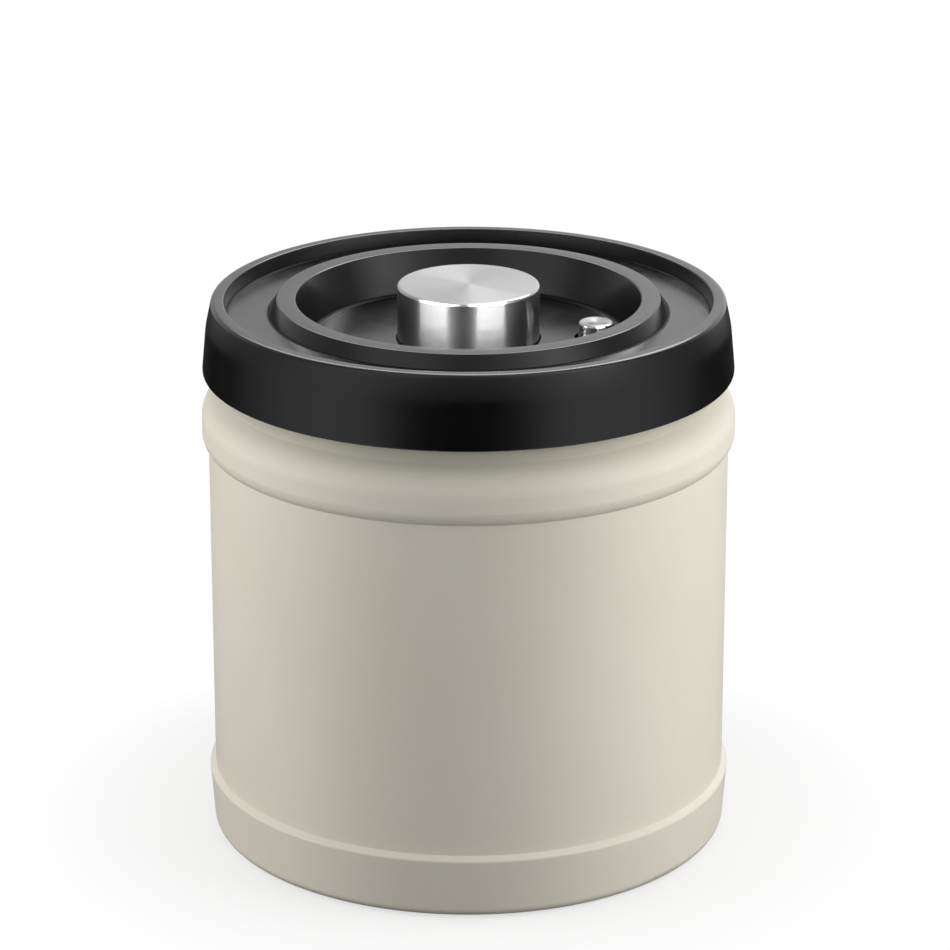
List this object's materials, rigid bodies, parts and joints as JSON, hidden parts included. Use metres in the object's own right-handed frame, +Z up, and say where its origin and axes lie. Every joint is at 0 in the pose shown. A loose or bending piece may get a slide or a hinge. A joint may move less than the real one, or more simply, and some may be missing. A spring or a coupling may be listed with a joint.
{
  "type": "vacuum seal canister",
  "caption": "Round ceramic food canister with a lift-off plastic lid that holds a push-button vacuum pump and a press-to-open release valve.",
  "frame": {"origin": "middle of the jar's foot, on the surface that it stands on", "axes": "+Z up the jar's axis, +X towards the release valve, -Y towards the picture's viewer"},
  "size_m": [0.1108, 0.1108, 0.1179],
  "materials": {
    "glaze": "matte sage-beige glaze",
    "black_plastic": "satin moulded black",
    "dark_plastic": "satin moulded charcoal",
    "pale_plastic": "natural acetal",
    "silicone": "translucent grey silicone",
    "chrome": "polished chrome plate",
    "steel": "bright stainless"
  },
  "bodies": {
    "canister": {"jar_body": "glaze"},
    "lid": {"lid_cover": "black_plastic", "inner_lid": "dark_plastic", "lid_gasket": "silicone", "lid_screws": "steel", "pump_barrel": "dark_plastic", "barrel_seal": "silicone", "intake_valve": "silicone", "filter_screen": "steel", "filter_cap": "dark_plastic", "return_spring": "steel", "release_spring": "steel"},
    "pump": {"pump_cap": "chrome", "pump_plunger": "dark_plastic", "pump_piston": "pale_plastic", "piston_seal": "silicone", "piston_screws": "steel", "exhaust_valve": "silicone"},
    "release": {"release_cap": "chrome", "release_stem": "pale_plastic", "release_seal": "silicone"}
  },
  "joints": [
    {"name": "lid_lift", "type": "slide", "parent": "canister", "child": "lid", "axis": [0, 0, 1], "range_m": [0, 0.06]},
    {"name": "pump_press", "type": "slide", "parent": "lid", "child": "pump", "axis": [0, 0, -1], "range_m": [0, 0.008], "stiffness_N_per_m": 500, "springref_m": -0.008, "deforming": ["return_spring"]},
    {"name": "release_press", "type": "slide", "parent": "lid", "child": "release", "axis": [0, 0, -1], "range_m": [0, 0.0022], "stiffness_N_per_m": 400, "springref_m": -0.004, "deforming": ["release_spring"]}
  ]
}
